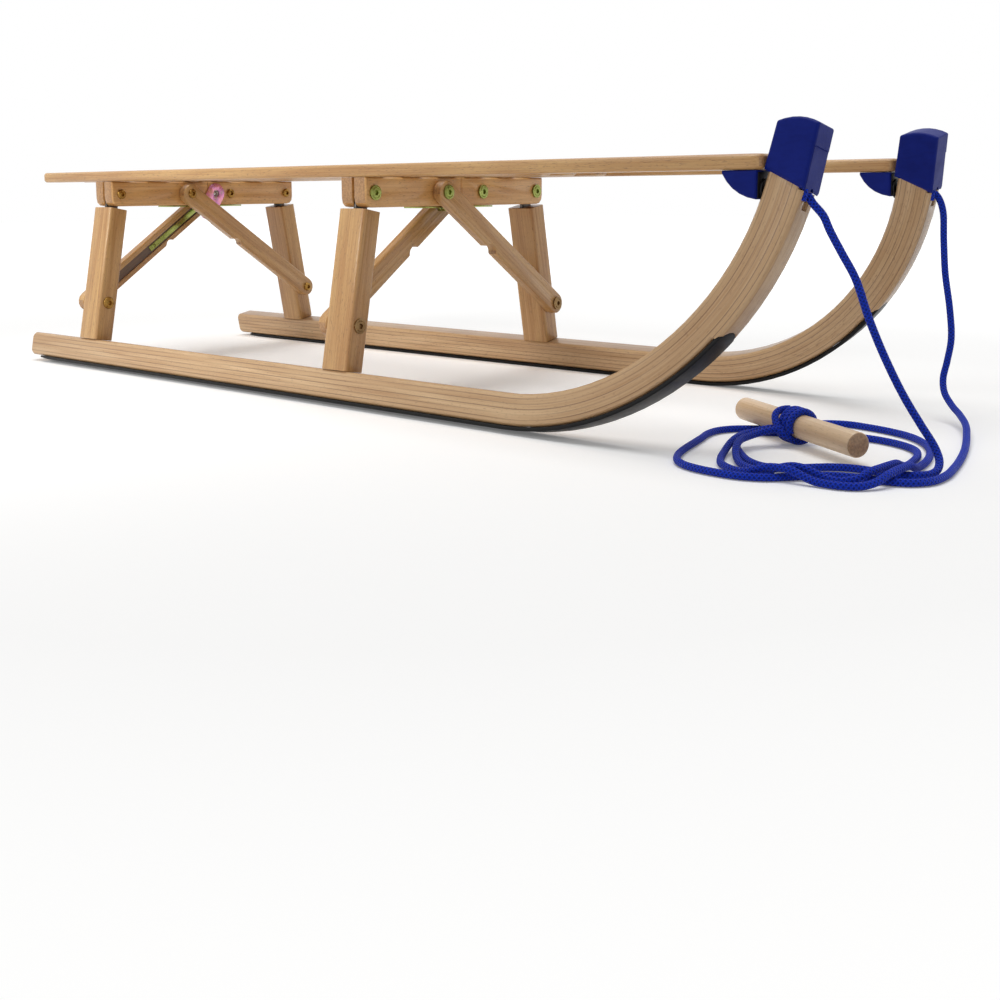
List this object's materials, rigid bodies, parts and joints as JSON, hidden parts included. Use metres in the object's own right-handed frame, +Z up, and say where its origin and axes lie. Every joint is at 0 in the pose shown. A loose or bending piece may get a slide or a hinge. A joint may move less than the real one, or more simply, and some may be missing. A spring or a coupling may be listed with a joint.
{
  "type": "folding sledge",
  "caption": "Folding wooden slatted sledge on two steam-bent runners, with a centre fold, braces, horn caps and a pull cord with a handle",
  "frame": {"origin": "centre of the footprint at ground level, measured without the pull cord, its knot and its handle", "axes": "+X forward to the horns, +Y to the sledge's left, +Z up"},
  "size_m": [1.1336, 0.3912, 0.2622],
  "materials": {
    "beech": "lacquered beech",
    "laminate": "lacquered laminated beech",
    "sole": "satin black",
    "blue_plastic": "fine moulded grain",
    "steel": "plain",
    "zinc": "yellow passivated zinc",
    "brass": "brass-plated",
    "pink_zinc": "iridescent pink passivated zinc",
    "white_plastic": "satin",
    "black_plastic": "satin",
    "cord": "braided"
  },
  "bodies": {
    "right_runner_body": {"runner_right": "laminate", "sole_right": "sole", "horn_cap_right": "blue_plastic", "leg_right_rear": "beech", "leg_right_front": "beech", "leg_tongue_right_rear": "steel", "leg_tongue_right_front": "steel", "rope_right": "cord", "rope_left": "cord", "handle": "beech", "rope_knot": "cord"},
    "right_seat_body": {"crossbar_right_rear": "beech", "crossbar_right_front": "beech", "leg_pivot_bolt_right_rear": "brass", "leg_pivot_bolt_right_front": "zinc", "hinge_leaf_right_rear": "zinc", "hinge_leaf_right_front": "zinc", "hinge_pin_rear": "steel", "hinge_pin_front": "steel", "outer_slat_right": "beech", "middle_slat_right": "beech", "inner_slat_right": "beech", "slat_gusset_right": "blue_plastic", "horn_pin_right": "black_plastic", "brace_top_bolt_rear_front_face": "brass", "brace_top_bolt_front_front_face": "zinc"},
    "left_seat_body": {"crossbar_left_rear": "beech", "crossbar_left_front": "beech", "leg_pivot_bolt_left_rear": "brass", "leg_pivot_bolt_left_front": "zinc", "hinge_leaf_left_rear": "zinc", "hinge_leaf_left_front": "zinc", "outer_slat_left": "beech", "middle_slat_left": "beech", "inner_slat_left": "beech", "slat_gusset_left": "blue_plastic", "horn_pin_left": "black_plastic", "brace_top_bolt_rear_back_face": "brass", "brace_top_bolt_front_back_face": "zinc", "lock_bush": "white_plastic"},
    "left_runner_body": {"runner_left": "laminate", "sole_left": "sole", "horn_cap_left": "blue_plastic", "leg_left_rear": "beech", "leg_left_front": "beech", "leg_tongue_left_rear": "steel", "leg_tongue_left_front": "steel"},
    "rear_front_brace_body": {"brace_rear_front_face": "beech", "brace_low_bolt_rear_front_face": "brass", "lock_plate": "pink_zinc"},
    "rear_back_brace_body": {"brace_rear_back_face": "beech", "brace_low_bolt_rear_back_face": "brass"},
    "front_front_brace_body": {"brace_front_front_face": "beech", "brace_low_bolt_front_front_face": "brass"},
    "front_back_brace_body": {"brace_front_back_face": "beech", "brace_low_bolt_front_back_face": "brass"},
    "lock_pin_body": {"lock_pin": "steel"},
    "pull_ring_body": {"pull_ring": "steel"}
  },
  "joints": [
    {"name": "right_leg_fold", "type": "hinge", "parent": "right_runner_body", "child": "right_seat_body", "pos_m": [0, -0.131, 0.20792], "axis": [1, 0, 0], "range_deg": [0, 79.35], "deforming": ["rope_left"]},
    {"name": "centre_fold", "type": "hinge", "parent": "right_seat_body", "child": "left_seat_body", "pos_m": [0, 0, 0.19023], "axis": [-1, 0, 0], "range_deg": [0, 180]},
    {"name": "left_leg_fold", "type": "hinge", "parent": "left_seat_body", "child": "left_runner_body", "pos_m": [0, 0.131, 0.20792], "axis": [1, 0, 0], "range_deg": [0, 79.35]},
    {"name": "rear_front_brace_swing", "type": "hinge", "parent": "right_seat_body", "child": "rear_front_brace_body", "pos_m": [-0.36181, -0.03517, 0.20792], "axis": [-1, 0, 0], "range_deg": [0, 137]},
    {"name": "front_front_brace_swing", "type": "hinge", "parent": "right_seat_body", "child": "front_front_brace_body", "pos_m": [0.06619, -0.03517, 0.20792], "axis": [-1, 0, 0], "range_deg": [0, 137]},
    {"name": "rear_back_brace_swing", "type": "hinge", "parent": "left_seat_body", "child": "rear_back_brace_body", "pos_m": [-0.40981, 0.03517, 0.20792], "axis": [1, 0, 0], "range_deg": [0, 137]},
    {"name": "front_back_brace_swing", "type": "hinge", "parent": "left_seat_body", "child": "front_back_brace_body", "pos_m": [0.01819, 0.03517, 0.20792], "axis": [1, 0, 0], "range_deg": [0, 137]},
    {"name": "lock_pin_slide", "type": "slide", "parent": "left_seat_body", "child": "lock_pin_body", "axis": [1, 0, 0], "range_m": [0, 0.0055]},
    {"name": "pull_ring_swing", "type": "hinge", "parent": "lock_pin_body", "child": "pull_ring_body", "pos_m": [-0.42571, 0.0105, 0.20792], "axis": [0, 1, 0], "range_deg": [0, 90]}
  ],
  "couplings": [
    {"joint": "centre_fold", "follows": "right_leg_fold", "ratio": 2.2684},
    {"joint": "left_leg_fold", "follows": "right_leg_fold", "ratio": 1},
    {"joint": "rear_front_brace_swing", "follows": "right_leg_fold", "ratio": 1.7257},
    {"joint": "front_front_brace_swing", "follows": "right_leg_fold", "ratio": 1.7257},
    {"joint": "rear_back_brace_swing", "follows": "right_leg_fold", "ratio": 1.7257},
    {"joint": "front_back_brace_swing", "follows": "right_leg_fold", "ratio": 1.7257}
  ]
}
